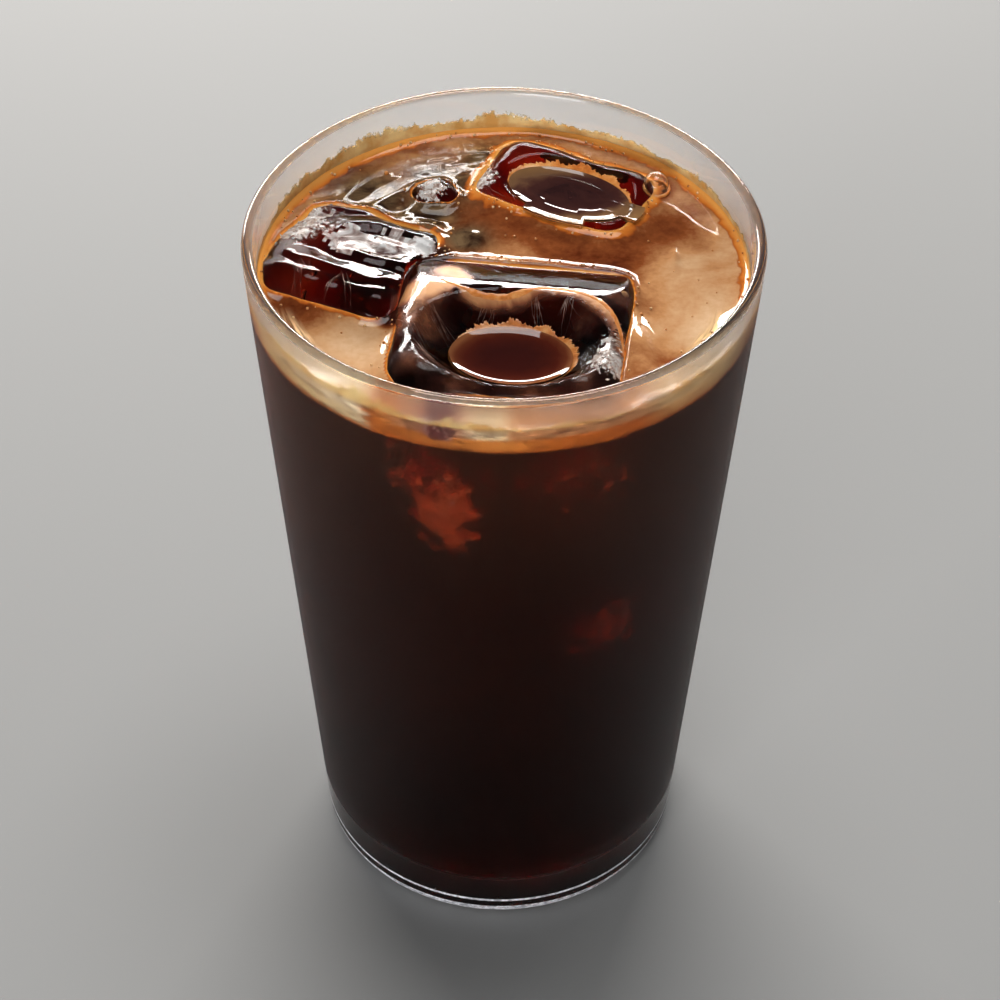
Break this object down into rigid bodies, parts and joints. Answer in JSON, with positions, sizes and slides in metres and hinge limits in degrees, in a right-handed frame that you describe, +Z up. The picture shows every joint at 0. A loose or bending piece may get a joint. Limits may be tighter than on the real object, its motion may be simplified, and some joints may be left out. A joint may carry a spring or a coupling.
{
  "type": "iced americano in a glass",
  "caption": "Tall clear tapered tumbler of iced black coffee with a thin crema and ice cubes at the top, standing on its foot.",
  "frame": {"origin": "centre of the glass's foot, on the surface that it stands on", "axes": "+Z up along the glass's axis, +Y away from the viewer of the picture, +X to the viewer's right"},
  "size_m": [0.0818, 0.0818, 0.129],
  "materials": {
    "glass": "polished",
    "coffee": "wet gloss",
    "crema": "wet satin",
    "ice": "clear, wet"
  },
  "bodies": {
    "root": {"glass": "glass", "coffee": "coffee", "crema": "crema", "ice_front": "ice", "ice_left": "ice", "ice_back": "ice", "ice_chip": "ice", "pool_front": "coffee", "pool_back": "coffee"}
  },
  "joints": []
}
